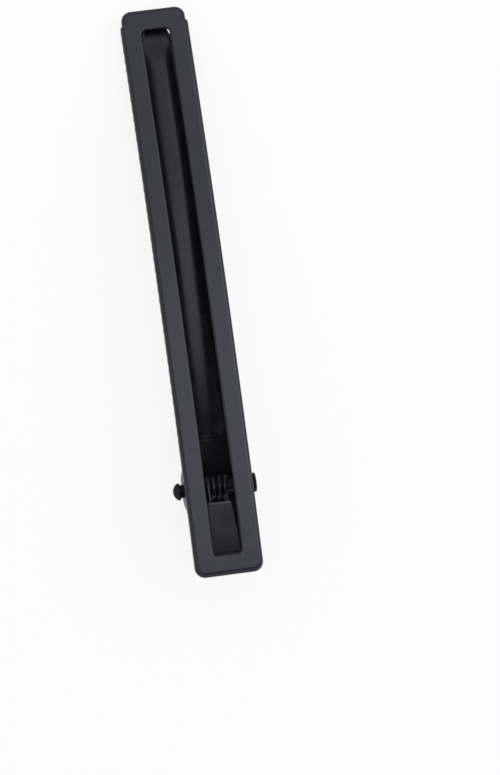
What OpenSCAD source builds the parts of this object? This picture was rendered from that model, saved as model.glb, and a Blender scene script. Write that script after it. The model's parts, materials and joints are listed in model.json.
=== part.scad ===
// Sectioning clip: a bowed steel hair clip with two pressed jaws, a torsion spring and a tubular rivet.
// It lies on its nose and its thumb end, with the toothed frame on top. +X points to the tip.

/* [Toothed frame] */
// Length over the frame's two closed ends, mm
frame_length = 115; // [105:1:130]
// Width over the toothed walls, mm
frame_width = 13.6; // [13.2:0.1:15]
// Thickness of the sheet steel of both jaws, mm
sheet = 0.6; // [0.5:0.05:0.7]
// Radius of the frame's long bow, measured on its outer face, mm
bow_radius = 385; // [360:5:420]
// Radius of the fold along the frame's edges, mm
frame_fold = 1.0; // [0.9:0.05:1.3]
// Arc length from the rivet to the frame's thumb end, mm
thumb_reach = 17.5; // [16.5:0.1:18.5]
// Depth of the walls at the tips of the teeth, mm
tooth_depth = 2.6; // [2.4:0.05:2.9]
// Depth of the walls at the valleys between the teeth, mm
valley_depth = 1.85; // [1.7:0.05:2.1]
// Number of teeth on each wall
tooth_count = 40; // [30:1:46]
// Width of the long window, mm
window_width = 5.6; // [5:0.1:6]

/* [Curved arm] */
// Gap from the frame's inner face down to the arm's outer face along the closed jaws, mm
closed_depth = 2.62; // [2.5:0.02:2.9]
// Distance that the arm's nose stays behind the frame's tip, mm
nose_setback = 1.7; // [1.4:0.1:2.2]
// Fall of the arm's thumb plate towards the thumb end, degrees
thumb_fall = 12.9; // [12.5:0.1:13.3]
// Length of the arm's thumb plate past the foot of the rivet's normal, mm
thumb_length = 16.6; // [16:0.1:16.8]
// Width of the arm over its ears and thumb plate, mm
arm_width = 10.8; // [10.4:0.1:11.2]
// Width of the arm where its bow meets the shoulder, mm
shoulder_width = 8.8; // [8.4:0.1:9.2]
// Width of the arm just behind its nose, mm
neck_width = 7.2; // [6.8:0.1:7.6]
// Depth of the groove pressed along the arm, mm
groove_depth = 0.8; // [0.4:0.05:0.9]

/* [Rivet and spring] */
// Radius of the rivet's shank, mm
shank_radius = 1.3; // [1.2:0.05:1.35]
// Radial clearance between the shank and the frame's ears, mm
frame_clearance = 0.03; // [0.02:0.01:0.05]
// Radial clearance between the shank and the arm's ears, mm
arm_clearance = 0.06; // [0.03:0.01:0.09]
// How much longer the rivet is than the frame is wide, its head and rolled end included, mm
rivet_overhang = 3; // [2.6:0.1:3.9]
// Thickness of the spring wire, mm
wire = 0.86; // [0.8:0.02:0.9]
// Radius of the coil at the middle of the wire, mm
coil_radius = 1.92; // [1.86:0.02:1.95]
// Distance from turn to turn along the coil, mm
coil_pitch = 1.15; // [1.0:0.05:1.3]

/* [Hidden] */

steel = [0.35, 0.35, 0.36];
dark_steel = [0.22, 0.22, 0.23];
wire_steel = [0.45, 0.45, 0.45];

// Shared with both jaws: the frame's own arc, with stations counted from the rivet towards the tip.
tip_station = frame_length - thumb_reach;
plate_height = 5.6;                       // rivet axis up to the frame's outer face
bow_centre = plate_height - bow_radius;
lobe_radius = 3.05;                       // round ears of the frame, about the rivet
arm_lobe = 3.0;                           // round ears of the arm, hidden behind the frame's
deep = 9.6;                               // walls before their edges are cut
past = 1;                                 // how far a cutter runs outside the metal

function turn(a) = a / bow_radius * 180 / PI;
function on_bow(a, depth) = [
    (bow_radius - depth) * sin(turn(a)),
    bow_centre + (bow_radius - depth) * cos(turn(a))
];
function span(first, last, steps) = [for (i = [0:steps]) first + (last - first) * i / steps];
function ease(t) = let (c = min(1, max(0, t))) c * c * (3 - 2 * c);

// Edges of the frame's walls, as stations and depths.
end_corner = 2.0;                         // plan radius of the closed ends
cap_narrowing = 0.4;                      // the tip cap is drawn in by this on each side
set_in = 0.02;                            // drawn ends lie this far inside the channel's faces
cap_depth = 1.9;
slit_top = 0.95;                          // the slit between cap and wall stops this far down
slit_front = tip_station - 2.9;
slit_back = slit_front - 0.35;
wall_front = slit_back - 0.65;
teeth_front = wall_front - 0.7;
teeth_back = 10.5;
edge_depth = 2.25;                        // plain edge between the teeth and the ears
thumb_depth = 2.2;
ear_foot = 4.2;                           // half the width of the ear where it leaves the wall
tooth_flat = 0.12;                        // half the blunt tip of a tooth
tooth_pitch = (teeth_front - teeth_back) / tooth_count;

// Window and the tongue lanced out of its thumb end.
window_front = tip_station - 4.4;
window_back = 4.1 - thumb_reach;
window_corners = [0.9, 0.6];
tongue_length = 10.2;
tongue_drop = 1.5;                        // from the frame's outer face, where its root steps down
tongue_rise = 1.0;                        // it comes back up by this at its free end
tongue_width = 5.3;
tongue_root = 3.3;
tongue_relief = 0.7;                      // one side draws in by this towards the free end
tongue_tip = window_back + tongue_length;
tongue_front = window_back + 0.7;         // the root's step down ends here
function tongue_face(a) = tongue_drop - tongue_rise * (a - tongue_front) / (tongue_tip - tongue_front);

// Arm: outer face as a straight thumb plate, one arc tangent to it, then an arc concentric with the frame.
grip_fold = 0.8;
thumb_fold = 1.5;
end_fold = 2.0;
grip_wall = 1.45;
thumb_wall = 2.1;
nose_radius = 2.3;
flare = 22;                               // each side of the nose opens at this angle
arm_corner = 2.5;                         // plan radius of the thumb end
stop_gap = 0.08;                          // nose lip to the frame's land when shut
axis_drop = 6.85;                         // rivet axis to the plane of the thumb plate
bend_lead = 3;                            // thumb plate continues this far towards the tip
down = [sin(thumb_fall), -cos(thumb_fall)];
along = [cos(thumb_fall), sin(thumb_fall)];
bend_start = axis_drop * down + bend_lead * along;
jaw_radius = bow_radius - sheet - closed_depth;
to_bend = bend_start - [0, bow_centre];
arm_radius = (jaw_radius * jaw_radius - to_bend * to_bend) / (2 * (down * to_bend + jaw_radius));
arm_centre = bend_start + arm_radius * down;
nose_turn = turn(tip_station - nose_setback);
join_turn = atan2(arm_centre.x, arm_centre.y - bow_centre);
jaw_run = jaw_radius * (nose_turn - join_turn) * PI / 180;
bend_run = arm_radius * (join_turn + thumb_fall) * PI / 180;
arm_run = jaw_run + bend_run + bend_lead + thumb_length;

// A point of the arm at run s from the nose and height h above its outer face, in the side view.
function arm_at(s, h) =
    s < jaw_run
        ? let (t = nose_turn - s / jaw_radius * 180 / PI)
            [(jaw_radius + h) * sin(t), bow_centre + (jaw_radius + h) * cos(t)]
    : s < jaw_run + bend_run
        ? let (t = join_turn - (s - jaw_run) / arm_radius * 180 / PI)
            arm_centre + (arm_radius + h) * [sin(t), cos(t)]
    : bend_start - (s - jaw_run - bend_run) * along - h * down;
// Run at which the plane of the thumb plate, raised by h, reaches x.
function run_at(x, h) = jaw_run + bend_run + (bend_start.x - h * down.x - x) / along.x;

shoulder_front = run_at(15.2, 0);
shoulder_back = run_at(9.4, 0);
function shoulder(s) = ease((s - shoulder_front) / (shoulder_back - shoulder_front));
function taper(s) = (neck_width + (shoulder_width - neck_width) * s / shoulder_front) / 2;
function flank(s) = nose_radius * cos(flare) + (s - nose_radius * (1 - sin(flare))) * tan(flare);
function soft_min(a, b) = (a + b - sqrt((a - b) * (a - b) + 0.09)) / 2;
function half_width(s) =
    soft_min(flank(s), taper(s)) + (arm_width / 2 - taper(s)) * shoulder(s);
function side_heading(s) = 90 - atan((half_width(s + 0.05) - half_width(s - 0.05)) / 0.1);

// Rim stations of the arm: [run, half width, heading of the outward normal, fold radius].
arm_end_run = arm_run - arm_corner;
arm_end_half = arm_width / 2 - arm_corner;
side_runs = concat(
    [1.9, 2.7, 3.5, 4.3, 5.2, 6.4, 8.2],
    span(11, shoulder_front - 3, 16),
    span(shoulder_front - 1.5, shoulder_back + 1.5, 10),
    span(shoulder_back + 4, arm_end_run - 3, 3)
);
rim = concat(
    [for (c = [12, 26, 40, 54, 90 - flare])
        [nose_radius * (1 - cos(c)), nose_radius * sin(c), c, grip_fold]],
    [for (s = side_runs)
        [s, half_width(s), side_heading(s), grip_fold + (thumb_fold - grip_fold) * shoulder(s)]],
    [for (c = span(90, 180, 5))
        [arm_end_run - arm_corner * cos(c), arm_end_half + arm_corner * sin(c), c,
            thumb_fold + (end_fold - thumb_fold) * (c - 90) / 90]]
);

// Groove of the outer face: a round-bottomed channel with a spoon end before the thumb plate.
groove_front = 5;
groove_back = run_at(9, 0);
spoon = 3.4;
groove_share = 0.64;                      // of the arm's width
groove_fall = 0.4;                        // share of its depth lost on the way to the shoulder
fall_front = 45;                          // run where it starts to get shallower
fall_length = 20;
function groove_half(s) =
    let (back = max(0, (s - groove_back + spoon) / spoon))
    groove_share * min(half_width(s), shoulder_width / 2 + 0.3) * sqrt(max(0.0001, 1 - back * back));
function groove_run(s) =
    groove_depth * (1 - groove_fall * ease((s - fall_front) / fall_length))
    * ease((s - groove_front) / 3) * ease((groove_back - s) / 2);
function groove(s, w) =
    let (u = min(1, abs(w) / groove_half(s)))
    s > groove_back ? 0 : groove_run(s) * (1 + cos(180 * u)) / 2;

// The arm's thick shell: rows of points across the sheet, one row for each rim station.
fold_steps = 4;
floor_steps = 6;
half_points = 2 + fold_steps + floor_steps;
row_points = 2 * half_points - 1;
function wall_point(r, d, h, side) =
    let (q = arm_at(r[0] + d * cos(r[2]), h))
    [q.x, side * (r[1] - d * sin(r[2])), q.y];
function shell_point(r, j, skin, side) =
    let (f = r[3])
    j == 0 ? wall_point(r, skin, deep + past, side)
    : j <= fold_steps + 1
        ? let (c = 90 * (j - 1) / fold_steps)
            wall_point(r, f - (f - skin) * cos(c), f - (f - skin) * sin(c), side)
    : let (
        s = r[0] + f * cos(r[2]),
        w = (r[1] - f * sin(r[2])) * (half_points - 1 - j) / floor_steps,
        q = arm_at(s, skin + groove(s, w))
    ) [q.x, side * w, q.y];
function shell_row(r, skin) = [
    for (i = [0:row_points - 1])
        i < half_points
            ? shell_point(r, i, skin, 1)
            : shell_point(r, row_points - 1 - i, skin, -1)
];
rows = len(rim);
skin_points = rows * row_points;
function two(a, b, c, d) = [[a, b, c], [a, c, d]];
function flip(list) = [for (t = list) [t[2], t[1], t[0]]];
function skin_faces(base) = concat(
    [for (k = [0:rows - 2], i = [0:row_points - 2])
        let (p = base + k * row_points + i)
        each two(p, p + row_points, p + row_points + 1, p + 1)],
    [for (k = [0, rows - 1], i = [0:fold_steps - 1])
        let (p = base + k * row_points, m = p + row_points - 1, q = two(p + i, p + i + 1, m - i - 1, m - i))
        each k == 0 ? q : flip(q)],
    [for (k = [0, rows - 1], i = [fold_steps + 1:row_points - 2 - fold_steps])
        let (p = base + k * row_points, t = [p + fold_steps, p + i, p + i + 1])
        k == 0 ? t : [t[2], t[1], t[0]]]
);
rim_faces = concat(
    [for (k = [0:rows - 2], i = [0, row_points - 1])
        let (
            p = k * row_points + i,
            q = two(p, p + skin_points, p + skin_points + row_points, p + row_points)
        )
        each i == 0 ? q : flip(q)],
    [for (k = [0, rows - 1])
        let (
            p = k * row_points,
            m = p + row_points - 1,
            q = two(p, m, m + skin_points, p + skin_points)
        )
        each k == 0 ? q : flip(q)]
);

// Spring: both legs leave the coil along its tangents.
leg_station = 11.5;                       // frame leg ends this far behind the rivet
leg_gap = 0.06;                           // left between each leg and the metal that it bears on
leg_fall = 4.6;                           // the frame leg rises to the tongue at this angle
full_turns = 3;
frame_leg_end =
    on_bow(-leg_station, tongue_face(-leg_station) + sheet) - [0, wire / 2 / cos(leg_fall) + leg_gap];
arm_leg_end = arm_at(arm_run - thumb_length + 12, sheet + wire / 2 + leg_gap);
leg_in = atan2(frame_leg_end.y, frame_leg_end.x) - acos(coil_radius / norm(frame_leg_end));
leg_out = atan2(arm_leg_end.y, arm_leg_end.x) + acos(coil_radius / norm(arm_leg_end));
coil_sweep = leg_in - leg_out + 360 * full_turns;
coil_half = coil_pitch * coil_sweep / 720;
coil_steps = 88;
wire_sides = 10;
function coil_ring(t) =
    let (a = leg_in - coil_sweep * t)
    [coil_radius * cos(a), coil_half * (1 - 2 * t), coil_radius * sin(a), a];
wire_rings = concat(
    [[frame_leg_end.x, coil_half, frame_leg_end.y, leg_in]],
    [for (i = [0:coil_steps]) coil_ring(i / coil_steps)],
    [[arm_leg_end.x, -coil_half, arm_leg_end.y, leg_out]]
);
wire_points = [
    for (r = wire_rings, i = [0:wire_sides - 1])
        let (b = 360 * i / wire_sides, u = wire / 2 * cos(b))
        [r[0] + u * cos(r[3]), r[1] + wire / 2 * sin(b), r[2] + u * sin(r[3])]
];
wire_faces = concat(
    [[for (i = [0:wire_sides - 1]) i]],
    [for (k = [0:len(wire_rings) - 2], i = [0:wire_sides - 1])
        let (n = (i + 1) % wire_sides, p = k * wire_sides)
        each two(p + i, p + wire_sides + i, p + wire_sides + n, p + n)],
    [[for (i = [wire_sides - 1:-1:0]) (len(wire_rings) - 1) * wire_sides + i]]
);

// Rivet.
rivet_length = frame_width + rivet_overhang;
rivet_shift = 0.5;                        // the rivet sits towards its head's side by this
neck = 0.5;
head_radius = 1.8;
head_thickness = rivet_overhang / 2 + rivet_shift - neck;
rolled_radius = 2.15;
rolled_thickness = 0.7;
hollow_radius = 1.05;
hollow_depth = 2.5;

// At rest the clip lies on the two rounded ends of the arm.
nose_foot = arm_at(grip_fold, grip_fold);
thumb_foot = arm_at(arm_run - end_fold, end_fold);
foot_line = nose_foot - thumb_foot;
rest_tilt = atan2(foot_line.y, foot_line.x) - asin((grip_fold - end_fold) / norm(foot_line));
function tilted(p) = [
    p.x * cos(rest_tilt) + p.y * sin(rest_tilt),
    p.y * cos(rest_tilt) - p.x * sin(rest_tilt)
];
front_end = tilted(on_bow(tip_station - frame_fold, frame_fold)).x + frame_fold;
back_end = tilted(on_bow(frame_fold - thumb_reach, frame_fold)).x - frame_fold;
seat_x = -(front_end + back_end) / 2;
seat_z = grip_fold - tilted(nose_foot).y;

module seated() {
    translate([seat_x, -rivet_shift, seat_z]) rotate([0, rest_tilt, 0]) children();
}

module across(width) {
    rotate([90, 0, 0]) linear_extrude(height = width, center = true) children();
}

module at_bow(a) {
    translate([on_bow(a, 0).x, 0, on_bow(a, 0).y]) rotate([0, turn(a), 0]) children();
}

module along_bow(first, last) {
    translate([0, 0, bow_centre])
        rotate([90, 0, 0])
            rotate([0, 0, 90 - turn(last)])
                rotate_extrude(angle = turn(last) - turn(first), $fn = 360)
                    translate([bow_radius, 0]) children();
}

// Solid block with both top edges rounded: depth runs to -x, width along y.
module channel_block(width, fold, depth) {
    translate([-depth, -width / 2]) square([depth - fold, width]);
    translate([-fold, fold - width / 2]) square([fold, width - 2 * fold]);
    for (side = [-1, 1]) translate([-fold, side * (width / 2 - fold)]) circle(fold, $fn = 64);
}

module channel_section(width) {
    difference() {
        channel_block(width, frame_fold, deep);
        translate([-sheet, 0]) channel_block(width - 2 * sheet, frame_fold - sheet, deep);
    }
}

// Half of a channel's section from a corner's centre out to the wall: x out, y up.
module end_block(reach, fold, depth) {
    translate([0, -depth]) square([reach, depth - fold]);
    translate([0, -fold]) square([reach - fold, fold]);
    translate([reach - fold, -fold]) circle(fold, $fn = 64);
}

module end_section() {
    difference() {
        end_block(end_corner, frame_fold, deep);
        translate([0, -sheet]) end_block(end_corner - sheet, frame_fold - sheet, deep);
    }
}

// Closed end of a channel, drawn round both corners, with a straight lead that laps into the channel.
module drawn_end(width, lead) {
    half = width / 2 - end_corner;
    translate([0, 0, -set_in]) {
        rotate([0, -90, 0]) linear_extrude(height = lead) channel_section(width);
        for (side = [0, 1])
            translate([0, (2 * side - 1) * half, 0])
                rotate([0, 0, 90 * side - 90])
                    rotate_extrude(angle = 90, $fn = 96) end_section();
        across(2 * half) end_section();
    }
}

module frame_shell() {
    cap_start = tip_station - end_corner;
    thumb_start = end_corner - thumb_reach;
    lap = 0.1;
    slit = (slit_front + slit_back) / 2;
    along_bow(thumb_start + lap, slit + lap) channel_section(frame_width);
    at_bow(cap_start) drawn_end(frame_width - 2 * cap_narrowing, cap_start - slit + lap);
    at_bow(thumb_start) rotate([0, 0, 180]) drawn_end(frame_width - 2 * set_in, 4 * lap);
}

// Side view of the frame: everything outside this outline is trimmed away.
module frame_outline() {
    foot_front = on_bow(ear_foot, edge_depth);
    foot_back = on_bow(-ear_foot, thumb_depth);
    flank_front = atan2(foot_front.y, foot_front.x) - acos(lobe_radius / norm(foot_front));
    flank_back = atan2(foot_back.y, foot_back.x) + acos(lobe_radius / norm(foot_back));
    inside = 0.98 * lobe_radius;
    circle(lobe_radius, $fn = 96);
    polygon(concat(
        [
            on_bow(tip_station + past, cap_depth),
            on_bow(slit_front, cap_depth),
            on_bow(slit_front, slit_top),
            on_bow(slit_back, slit_top),
            on_bow(wall_front, tooth_depth)
        ],
        [for (i = [0:tooth_count - 1])
            let (valley = teeth_front - i * tooth_pitch, tip = valley - tooth_pitch / 2)
            each [
                on_bow(valley, valley_depth),
                on_bow(tip + tooth_flat, tooth_depth),
                on_bow(tip - tooth_flat, tooth_depth)
            ]],
        [
            on_bow(teeth_back, valley_depth),
            on_bow(teeth_back - 0.5, edge_depth),
            foot_front,
            inside * [cos(flank_front), sin(flank_front)],
            inside * [cos(flank_back), sin(flank_back)],
            foot_back,
            on_bow(-thumb_reach - past, thumb_depth)
        ],
        [for (a = span(-thumb_reach - past, tip_station + past, 8)) on_bow(a, -3 * past)]
    ));
}

module window_outline() {
    front = on_bow(window_front, 0).x;
    back = on_bow(window_back, 0).x;
    r = window_corners;
    translate([back + r[1], -window_width / 2])
        square([front - back - r[0] - r[1], window_width]);
    translate([back, r[1] - window_width / 2]) square([r[1], window_width - 2 * r[1]]);
    translate([front - r[0], r[0] - window_width / 2]) square([r[0], window_width - 2 * r[0]]);
    for (side = [-1, 1]) {
        translate([back + r[1], side * (window_width / 2 - r[1])]) circle(r[1], $fn = 48);
        translate([front - r[0], side * (window_width / 2 - r[0])]) circle(r[0], $fn = 48);
    }
}

module tongue() {
    half = tongue_width / 2;
    intersection() {
        across(tongue_width)
            polygon([
                on_bow(window_back - 0.45, sheet / 2),
                on_bow(window_back, sheet / 2),
                on_bow(tongue_front, tongue_drop),
                on_bow(tongue_tip, tongue_face(tongue_tip)),
                on_bow(tongue_tip, tongue_face(tongue_tip) + sheet),
                on_bow(window_back + 0.25, tongue_drop + sheet),
                on_bow(window_back - 0.45, sheet / 2 + 0.2)
            ]);
        linear_extrude(height = deep)
            polygon([
                [window_back - past, -half],
                [window_back + tongue_root, -half],
                [tongue_tip + past, tongue_relief - half],
                [tongue_tip + past, half + past],
                [window_back - past, half + past]
            ]);
    }
}

module toothed_frame() {
    color(steel)
        seated() {
            difference() {
                intersection() {
                    frame_shell();
                    across(frame_width + 2 * past) frame_outline();
                }
                translate([0, 0, -frame_length / 2])
                    linear_extrude(height = frame_length) window_outline();
                across(frame_width + 2 * past)
                    circle(shank_radius + frame_clearance, $fn = 64);
            }
            tongue();
        }
}

// Side view of the arm: nose lip, low grip walls, step up to the thumb plate's walls, and the ears.
module arm_outline() {
    lip = closed_depth - stop_gap;
    lip_back = 2.2;
    step_front = run_at(11.6, 0);
    foot_front = arm_at(run_at(4.6, thumb_wall), thumb_wall);
    ear_back = 0.05 - arm_lobe;
    foot_back = arm_at(run_at(ear_back, thumb_wall), thumb_wall);
    circle(arm_lobe, $fn = 96);
    polygon(concat(
        [arm_at(-past, lip), arm_at(lip_back, lip), arm_at(lip_back + 0.5, grip_wall)],
        [for (s = span(6, step_front, 24)) arm_at(s, grip_wall)],
        [
            arm_at(step_front + 0.8, thumb_wall),
            foot_front,
            foot_front + [-2.4, 2.4],
            [ear_back, 0],
            foot_back,
            arm_at(arm_run + past, thumb_wall),
            arm_at(arm_run + past, -past)
        ],
        [for (s = span(arm_run - thumb_length, -past, 12)) arm_at(s, -past)]
    ));
}

module curved_arm() {
    shell = concat(
        [for (r = rim) each shell_row(r, 0)],
        [for (r = rim) each shell_row(r, sheet)]
    );
    color(steel)
        seated()
            difference() {
                intersection() {
                    polyhedron(shell, concat(skin_faces(0), flip(skin_faces(skin_points)), rim_faces));
                    across(arm_width + 2 * past) arm_outline();
                }
                across(arm_width + 2 * past) circle(shank_radius + arm_clearance, $fn = 64);
            }
}

module torsion_spring() {
    color(wire_steel) seated() polyhedron(wire_points, wire_faces);
}

// Half section of the rivet: x is the radius, y runs from the rolled end to the domed head.
module rivet_section() {
    end = rivet_length / 2;
    ball = (head_radius * head_radius + head_thickness * head_thickness) / (2 * head_thickness);
    roll = rolled_thickness / 2;
    translate([0, hollow_depth - end]) square([shank_radius, rivet_length - hollow_depth - head_thickness]);
    translate([hollow_radius, roll - end]) square([shank_radius - hollow_radius, hollow_depth]);
    translate([hollow_radius, -end]) square([rolled_radius - roll - hollow_radius, 2 * roll]);
    translate([rolled_radius - roll, roll - end]) circle(roll, $fn = 48);
    intersection() {
        translate([0, end - head_thickness]) square([head_radius, head_thickness]);
        translate([0, end - ball]) circle(ball, $fn = 96);
    }
}

module rivet() {
    color(dark_steel)
        seated()
            rotate([-90, 0, 0])
                translate([0, 0, rivet_shift]) rotate_extrude($fn = 96) rivet_section();
}

toothed_frame();
curved_arm();
torsion_spring();
rivet();
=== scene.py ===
# %% [markdown]
# # A sectioning clip in pressed steel
# A sectioning clip holds a strand of hair out of the way while the rest is cut or dried. It has
# two jaws pressed from thin sheet steel, a torsion spring and one tubular rivet. This lesson
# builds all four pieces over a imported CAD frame. The CAD solids give the places and the joint,
# and the pieces made here give the softened edges, the pressed details and the finish.

# %% Load the frame
import json
import math

import bmesh
import bpy
import numpy as np
from mathutils import Matrix, Vector


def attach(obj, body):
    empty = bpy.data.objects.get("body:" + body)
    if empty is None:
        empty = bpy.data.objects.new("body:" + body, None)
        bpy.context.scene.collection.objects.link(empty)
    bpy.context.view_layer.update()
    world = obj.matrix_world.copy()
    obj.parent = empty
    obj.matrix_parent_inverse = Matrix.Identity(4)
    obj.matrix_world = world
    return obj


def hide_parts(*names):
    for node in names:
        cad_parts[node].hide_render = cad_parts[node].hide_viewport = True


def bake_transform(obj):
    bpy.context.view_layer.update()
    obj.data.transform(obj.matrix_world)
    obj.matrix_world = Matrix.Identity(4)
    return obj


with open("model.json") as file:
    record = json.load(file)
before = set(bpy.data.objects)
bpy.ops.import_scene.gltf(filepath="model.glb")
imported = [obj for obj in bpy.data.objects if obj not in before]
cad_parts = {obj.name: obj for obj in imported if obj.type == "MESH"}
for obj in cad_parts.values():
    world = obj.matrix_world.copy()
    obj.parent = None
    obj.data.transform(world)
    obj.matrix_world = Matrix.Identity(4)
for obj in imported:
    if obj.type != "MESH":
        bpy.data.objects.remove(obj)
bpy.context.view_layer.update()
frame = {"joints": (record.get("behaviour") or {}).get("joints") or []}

# %% [markdown]
# ## Small helpers
# Colours are written as hex values, as in a paint chart, and one function turns them to the linear
# numbers that a shader needs. Another adds a node with its settings and its links in one call,
# which keeps the trees readable. A third puts a new object into the scene.

# %% Colour, node and object helpers
MM = 0.001


def hex_colour(text):
    """sRGB hex to linear RGBA."""
    rgb = [int(text[i:i + 2], 16) / 255 for i in (1, 3, 5)]
    return [c / 12.92 if c <= 0.04045 else ((c + 0.055) / 1.055) ** 2.4 for c in rgb] + [1.0]


def add_node(tree, kind, settings=None, inputs=None):
    """Adds one node: settings are its properties, and each input takes a value or a socket.

    A whole node given to an input stands for its first output.
    """
    made = tree.nodes.new(kind)
    for key, value in (settings or {}).items():
        setattr(made, key, value)
    for key, value in (inputs or {}).items():
        if isinstance(value, bpy.types.Node):
            value = value.outputs[0]
        if isinstance(value, bpy.types.NodeSocket):
            tree.links.new(value, made.inputs[key])
        else:
            made.inputs[key].default_value = value
    return made


def new_object(name, data):
    """An object for the data, at the origin and in the scene."""
    made = bpy.data.objects.new(name, data)
    bpy.context.scene.collection.objects.link(made)
    return made


print("#808080 in linear numbers:", [round(c, 3) for c in hex_colour("#808080")[:3]])

# %% [markdown]
# ## The clip's own frame of measure
# The long face of the toothed jaw follows one large circle. Stations along it are counted in
# millimetres from the rivet: positive towards the tip, negative towards the thumb end.
# The arm's outer face is a straight thumb plate, then an arc tangent to it, then an arc that runs
# parallel to the frame. These few numbers are the same ones that the CAD source uses. In the side
# view a turn is counted from straight up, which is why a unit vector is read backwards there.

# %% Sizes of the frame, in mm
BOW, PLATE_UP = 385.0, 5.6             # radius of the outer face, and its height above the rivet
SHEET = 0.6                            # the steel of both jaws
TIP, THUMB = 97.5, 17.5                # reach from the rivet, each way
HALF, CAP_HALF = 6.8, 6.4              # half width over the walls, and over the cap at the tip
FOLD, CORNER = 1.0, 2.0                # radius of the fold, and of the corners in the flat
# depth of the wall: at a tooth's point and its valley, plain, at the thumb, the cap and its slit
WALL = {"tooth": 2.6, "valley": 1.85, "plain": 2.25, "thumb": 2.2, "cap": 1.9, "slit": 1.03}
LOBE, EAR_FOOT = 3.05, 4.2             # round ear about the rivet, and half its width at the wall
TOOTH_FRONT, TOOTH_BACK, TEETH = 92.9, 10.5, 40
WINDOW_HALF, WINDOW_FRONT, WINDOW_BACK = 2.8, 93.1, -13.4


def unit(t):
    """The unit vector at angle t."""
    return np.array([math.cos(t), math.sin(t)])


bow_mid = np.array([0.0, PLATE_UP - BOW])
pitch = (TOOTH_FRONT - TOOTH_BACK) / TEETH
print(f"frame: {TIP + THUMB:.0f} mm long, a tooth every {pitch:.2f} mm")

# %% Sizes of the arm, in mm
CLOSED = 2.62                          # frame's inner face to the arm's outer face when shut
NOSE_SETBACK = 1.7                     # how far the nose stays behind the tip
FALL, AXIS_DROP = math.radians(12.9), 6.85  # slope of the thumb plate; its plane below the rivet
LEAD, THUMB_PLATE = 3.0, 16.6          # length of that plate before the rivet, and behind it
NOSE_R, FLARE = 2.3, math.radians(22)  # round nose, and how each side of it opens
NECK, SHOULDER, ARM_HALF = 3.6, 4.4, 5.4    # half widths, from the nose to the thumb plate
GRIP_FOLD, THUMB_FOLD, END_FOLD = 0.8, 1.5, 2.0
GRIP_WALL, THUMB_WALL = 1.45, 2.1
EAR, ARM_CORNER = 3.0, 2.5             # round ear about the rivet; corners of the thumb end

down = np.array([math.sin(FALL), -math.cos(FALL)])
along = unit(FALL)
bend_start = AXIS_DROP * down + LEAD * along
jaw_r = BOW - SHEET - CLOSED
to_bend = bend_start - bow_mid
arm_r = (jaw_r ** 2 - to_bend @ to_bend) / (2 * (down @ to_bend + jaw_r))
arm_mid = bend_start + arm_r * down
nose_turn = (TIP - NOSE_SETBACK) / BOW
join_turn = math.atan2(arm_mid[0], arm_mid[1] - bow_mid[1])
jaw_run, bend_run = jaw_r * (nose_turn - join_turn), arm_r * (join_turn + FALL)
arm_run = jaw_run + bend_run + LEAD + THUMB_PLATE
print(f"arm: bend radius {arm_r:.1f} mm, developed length {arm_run:.1f} mm")


# %% Points of the side view
def on_bow(a, depth):
    """Side view: a point at station a and depth below the frame's outer face."""
    return bow_mid + (BOW - depth) * unit(a / BOW)[::-1]


def arm_at(s, h):
    """Side view: a point at run s from the arm's nose and height h above its outer face."""
    if s < jaw_run:
        t = nose_turn - s / jaw_r
        return bow_mid + (jaw_r + h) * unit(t)[::-1]
    if s < jaw_run + bend_run:
        t = join_turn - (s - jaw_run) / arm_r
        return arm_mid + (arm_r + h) * unit(t)[::-1]
    return bend_start - (s - jaw_run - bend_run) * along - h * down


def run_at(x, h=0.0):
    """Run at which the plane of the thumb plate, raised by h, reaches x."""
    return jaw_run + bend_run + (bend_start[0] - h * down[0] - x) / along[0]


print("the tip's outer face is at", on_bow(TIP, 0).round(2), "mm from the rivet")

# %% [markdown]
# ## Lying at rest
# The clip lies on its nose and on its thumb end, so the whole design is turned by less than half a
# degree and lifted on to the table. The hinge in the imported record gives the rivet's exact place.

# %% From design millimetres to the row's metres
pivot = Vector(frame["joints"][0]["pos_m"])
nose_foot, thumb_foot = arm_at(GRIP_FOLD, GRIP_FOLD), arm_at(arm_run - END_FOLD, END_FOLD)
feet = nose_foot - thumb_foot
tilt = math.atan2(feet[1], feet[0]) - math.asin((GRIP_FOLD - END_FOLD) / np.linalg.norm(feet))


def placed(x, y, z):
    """A point of the design, in mm about the rivet, as a point of the row, in metres."""
    return Vector((
        (x * math.cos(tilt) + z * math.sin(tilt)) * MM + pivot.x,
        y * MM + pivot.y,
        (z * math.cos(tilt) - x * math.sin(tilt)) * MM + pivot.z,
    ))


def in_the_middle(point):
    """A point of the side view, on the clip's middle plane, as a point of the row."""
    return placed(point[0], 0, point[1])


print(f"rest tilt {math.degrees(tilt):.3f} degrees, pivot {[round(v / MM, 2) for v in pivot]} mm")

# %% [markdown]
# ## The coat
# The jaws are cold-rolled steel with a thin satin coating in gunmetal, sprayed and baked.
# To the eye it is nearly black paint with a broad soft sheen. The light that it shows comes mostly
# from the surface of the coat, so its roughness matters more than its colour. The spray leaves a
# fine orange peel, drawn here at 0.25 mm, which is as coarse as it needs to be to show, and
# handling rubs the edges slightly brighter. The arm and the rivet are sprayed apart from the
# frame, and their coats came out a little duller. The arm's coat is also darker and reflects
# less, which is painted shade: the arm lies deep inside the frame, where shade falls on it.

# %% Scale of the patterns
PER_MM = 1 / MM                        # patterns are counted in patches to the millimetre
ORANGE_PEEL = 4 * PER_MM               # bumps of 0.25 mm
CLOUDS = 0.26 * PER_MM                 # wear and sheen change over nearly 4 mm
RELIEF = 0.02 * MM                     # height of the finest bumps


def new_material(name):
    """An empty material and its node tree."""
    made = bpy.data.materials.new(name)
    made.use_nodes = True
    made.node_tree.nodes.clear()
    return made, made.node_tree


print(f"orange peel: noise scale {ORANGE_PEEL:.0f}, clouds {CLOUDS:.0f}")


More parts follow.
